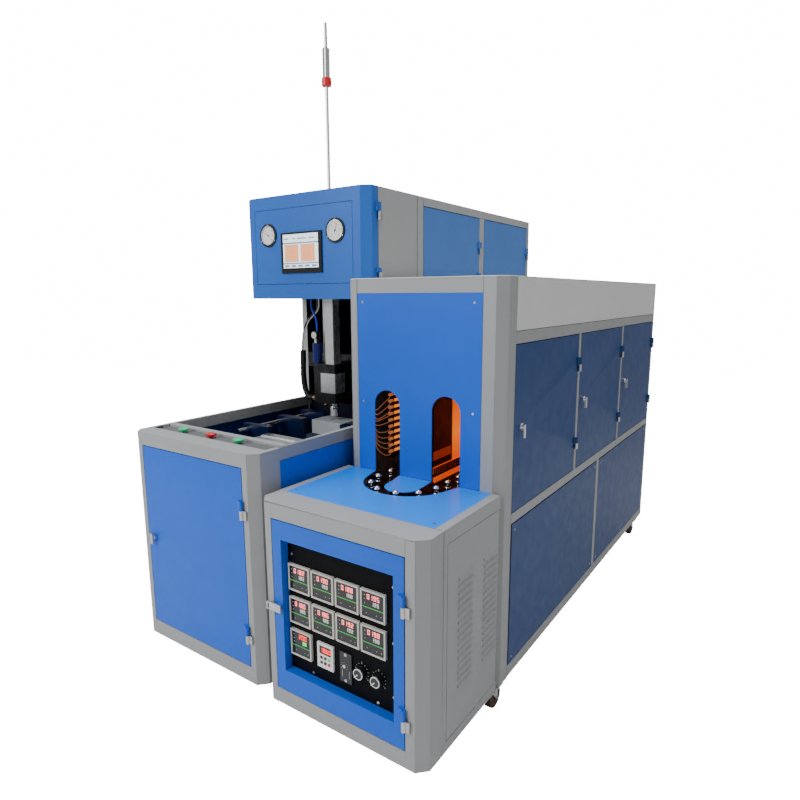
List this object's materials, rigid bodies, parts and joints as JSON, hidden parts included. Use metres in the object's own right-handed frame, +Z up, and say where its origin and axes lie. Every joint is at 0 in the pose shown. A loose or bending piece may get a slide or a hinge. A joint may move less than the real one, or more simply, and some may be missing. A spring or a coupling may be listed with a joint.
{
  "type": "blow moulding machine",
  "caption": "Free-standing bottle blow moulding machine: a preform oven with a looped spindle conveyor beside a blowing unit with clamp, overhead head and stretch rod.",
  "frame": {"origin": "centre of the whole machine's footprint box, on the floor", "axes": "+X to the operator's right, from the blowing unit to the oven; +Y away from the operator; +Z up"},
  "size_m": [1.352, 2.4544, 2.485],
  "materials": {
    "grey_paint": "fine powder coat",
    "blue_paint": "semi-gloss powder coat",
    "bright_blue_paint": "gloss paint",
    "dark_paint": "dark machine enamel",
    "dark_steel": "oiled steel",
    "chrome": "polished",
    "reflector": "heat-stained sheet",
    "lamp_glass": "quartz tube",
    "black_panel": "printed panel film",
    "black_plastic": "moulded",
    "light_plastic": "moulded",
    "aluminium": "clear anodised",
    "mould_steel": "ground",
    "black_oxide": "black oxide",
    "red_plastic": "moulded",
    "green_plastic": "moulded",
    "black_rubber": "smooth",
    "tread_rubber": "moulded tread",
    "brass": "turned",
    "zinc": "zinc plated"
  },
  "bodies": {
    "machine": {"air_fittings": "brass", "air_hoses": "black_rubber", "blow_frame": "grey_paint", "blow_panels": "blue_paint", "caster_mounts": "zinc", "clamp_cylinder": "aluminium", "clamp_platens": "dark_paint", "conveyor_bed": "dark_paint", "conveyor_chain": "dark_steel", "head_box": "grey_paint", "hinge_set": "zinc", "lamp_housings": "reflector", "levelling_feet": "zinc", "louvre_panels": "grey_paint", "mould_half_fixed": "mould_steel", "oven_frame": "grey_paint", "oven_hood": "grey_paint", "oven_panels": "blue_paint", "preform_spindles": "chrome", "quartz_lamps": "lamp_glass", "rear_cabinet": "grey_paint", "seal_cylinder": "aluminium", "seal_plates": "black_oxide", "table_plate": "bright_blue_paint", "tie_bars": "chrome"},
    "control_door": {"control_door": "blue_paint", "control_panel": "black_panel", "panel_instruments": "light_plastic"},
    "control_knob_1": {"control_knob_1": "light_plastic"},
    "control_knob_2": {"control_knob_2": "light_plastic"},
    "control_latch": {"control_latch": "chrome"},
    "blow_door": {"blow_door": "blue_paint"},
    "blow_door_handle": {"blow_door_handle": "chrome"},
    "start_button_left": {"start_button_left": "green_plastic"},
    "stop_button": {"stop_button": "red_plastic"},
    "start_button_right": {"start_button_right": "green_plastic"},
    "head_hood": {"head_hood": "blue_paint", "operator_screen": "black_plastic", "pressure_gauges": "black_plastic"},
    "clamp": {"moving_platen": "dark_paint", "mould_half_moving": "mould_steel"},
    "seal_nozzle": {"seal_nozzle": "chrome"},
    "stretch_rod": {"stretch_rod": "chrome", "stretch_collars": "red_plastic"},
    "side_door_1": {"side_door_1": "blue_paint"},
    "side_handle_1": {"side_handle_1": "chrome"},
    "side_door_2": {"side_door_2": "blue_paint"},
    "side_handle_2": {"side_handle_2": "chrome"},
    "side_door_3": {"side_door_3": "blue_paint"},
    "side_handle_3": {"side_handle_3": "chrome"},
    "rear_door_1": {"rear_door_1": "blue_paint"},
    "caster_fork_1": {"caster_fork_1": "zinc"},
    "brake_pedal_1": {"brake_pedal_1": "red_plastic"},
    "rear_door_2": {"rear_door_2": "blue_paint"},
    "caster_fork_2": {"caster_fork_2": "zinc"},
    "brake_pedal_2": {"brake_pedal_2": "red_plastic"},
    "caster_wheel_1": {"caster_wheel_1": "tread_rubber"},
    "caster_wheel_2": {"caster_wheel_2": "tread_rubber"},
    "caster_wheel_3": {"caster_wheel_3": "tread_rubber"},
    "caster_wheel_4": {"caster_wheel_4": "tread_rubber"}
  },
  "joints": [
    {"name": "control_door_hinge", "type": "hinge", "parent": "machine", "child": "control_door", "pos_m": [0.5935, -1.22025, 0.452], "axis": [0, 0, 1], "range_deg": [0, 110]},
    {"name": "control_knob_1_turn", "type": "hinge", "parent": "control_door", "child": "control_knob_1", "pos_m": [0.421, -1.18875, 0.328], "axis": [0, 1, 0], "range_deg": [-130, 130]},
    {"name": "control_knob_2_turn", "type": "hinge", "parent": "control_door", "child": "control_knob_2", "pos_m": [0.483, -1.18875, 0.327], "axis": [0, 1, 0], "range_deg": [-130, 130]},
    {"name": "control_latch_turn", "type": "hinge", "parent": "control_door", "child": "control_latch", "pos_m": [0.114, -1.21775, 0.452], "axis": [0, 1, 0], "range_deg": [0, 90]},
    {"name": "blow_door_hinge", "type": "hinge", "parent": "machine", "child": "blow_door", "pos_m": [-0.0505, -1.20525, 0.52], "axis": [0, 0, 1], "range_deg": [0, 110]},
    {"name": "blow_door_handle_turn", "type": "hinge", "parent": "blow_door", "child": "blow_door_handle", "pos_m": [-0.557, -1.20275, 0.522], "axis": [0, 1, 0], "range_deg": [0, 90]},
    {"name": "side_door_1_hinge", "type": "hinge", "parent": "machine", "child": "side_door_1", "pos_m": [0.6645, -0.07325, 0.984], "axis": [0, 0, 1], "range_deg": [0, 105]},
    {"name": "side_handle_1_turn", "type": "hinge", "parent": "side_door_1", "child": "side_handle_1", "pos_m": [0.662, -0.63575, 0.992], "axis": [1, 0, 0], "range_deg": [0, 90]},
    {"name": "side_door_2_hinge", "type": "hinge", "parent": "machine", "child": "side_door_2", "pos_m": [0.6645, 0.56275, 0.984], "axis": [0, 0, 1], "range_deg": [0, 105]},
    {"name": "side_handle_2_turn", "type": "hinge", "parent": "side_door_2", "child": "side_handle_2", "pos_m": [0.662, 0.00025, 0.992], "axis": [1, 0, 0], "range_deg": [0, 90]},
    {"name": "side_door_3_hinge", "type": "hinge", "parent": "machine", "child": "side_door_3", "pos_m": [0.6645, 1.19875, 0.984], "axis": [0, 0, 1], "range_deg": [0, 105]},
    {"name": "side_handle_3_turn", "type": "hinge", "parent": "side_door_3", "child": "side_handle_3", "pos_m": [0.662, 0.63625, 0.992], "axis": [1, 0, 0], "range_deg": [0, 90]},
    {"name": "rear_door_1_hinge", "type": "hinge", "parent": "machine", "child": "rear_door_1", "pos_m": [0.0135, 0.31475, 1.637], "axis": [0, 0, 1], "range_deg": [0, 100]},
    {"name": "rear_door_2_hinge", "type": "hinge", "parent": "machine", "child": "rear_door_2", "pos_m": [0.0135, 0.90075, 1.637], "axis": [0, 0, 1], "range_deg": [0, 100]},
    {"name": "head_hood_hinge", "type": "hinge", "parent": "machine", "child": "head_hood", "pos_m": [0.0105, -0.52, 1.614], "axis": [0, 0, 1], "range_deg": [0, 48]},
    {"name": "start_button_left_press", "type": "slide", "parent": "machine", "child": "start_button_left", "axis": [0, 0, -1], "range_m": [0, 0.005], "stiffness_N_per_m": 400, "springref_m": -0.004},
    {"name": "stop_button_press", "type": "slide", "parent": "machine", "child": "stop_button", "axis": [0, 0, -1], "range_m": [0, 0.005], "stiffness_N_per_m": 400, "springref_m": -0.004},
    {"name": "start_button_right_press", "type": "slide", "parent": "machine", "child": "start_button_right", "axis": [0, 0, -1], "range_m": [0, 0.005], "stiffness_N_per_m": 400, "springref_m": -0.004},
    {"name": "clamp_stroke", "type": "slide", "parent": "machine", "child": "clamp", "axis": [0, -1, 0], "range_m": [0, 0.11]},
    {"name": "seal_stroke", "type": "slide", "parent": "machine", "child": "seal_nozzle", "axis": [0, 0, -1], "range_m": [0, 0.018]},
    {"name": "stretch_stroke", "type": "slide", "parent": "machine", "child": "stretch_rod", "axis": [0, 0, -1], "range_m": [0, 0.24]},
    {"name": "caster_1_swivel", "type": "hinge", "parent": "machine", "child": "caster_fork_1", "pos_m": [0.112, -0.73275, 0.09], "axis": [0, 0, 1], "continuous": true},
    {"name": "brake_pedal_1_tilt", "type": "hinge", "parent": "caster_fork_1", "child": "brake_pedal_1", "pos_m": [0.112, -0.75975, 0.077], "axis": [1, 0, 0], "range_deg": [0, 14]},
    {"name": "caster_2_swivel", "type": "hinge", "parent": "machine", "child": "caster_fork_2", "pos_m": [0.615, -0.73275, 0.09], "axis": [0, 0, 1], "continuous": true},
    {"name": "brake_pedal_2_tilt", "type": "hinge", "parent": "caster_fork_2", "child": "brake_pedal_2", "pos_m": [0.615, -0.75975, 0.077], "axis": [1, 0, 0], "range_deg": [0, 14]},
    {"name": "caster_wheel_1_spin", "type": "hinge", "parent": "caster_fork_1", "child": "caster_wheel_1", "pos_m": [0.112, -0.70475, 0.04], "axis": [1, 0, 0], "continuous": true},
    {"name": "caster_wheel_2_spin", "type": "hinge", "parent": "caster_fork_2", "child": "caster_wheel_2", "pos_m": [0.615, -0.70475, 0.04], "axis": [1, 0, 0], "continuous": true},
    {"name": "caster_wheel_3_spin", "type": "hinge", "parent": "machine", "child": "caster_wheel_3", "pos_m": [0.112, 1.14525, 0.04], "axis": [1, 0, 0], "continuous": true},
    {"name": "caster_wheel_4_spin", "type": "hinge", "parent": "machine", "child": "caster_wheel_4", "pos_m": [0.615, 1.14525, 0.04], "axis": [1, 0, 0], "continuous": true}
  ]
}
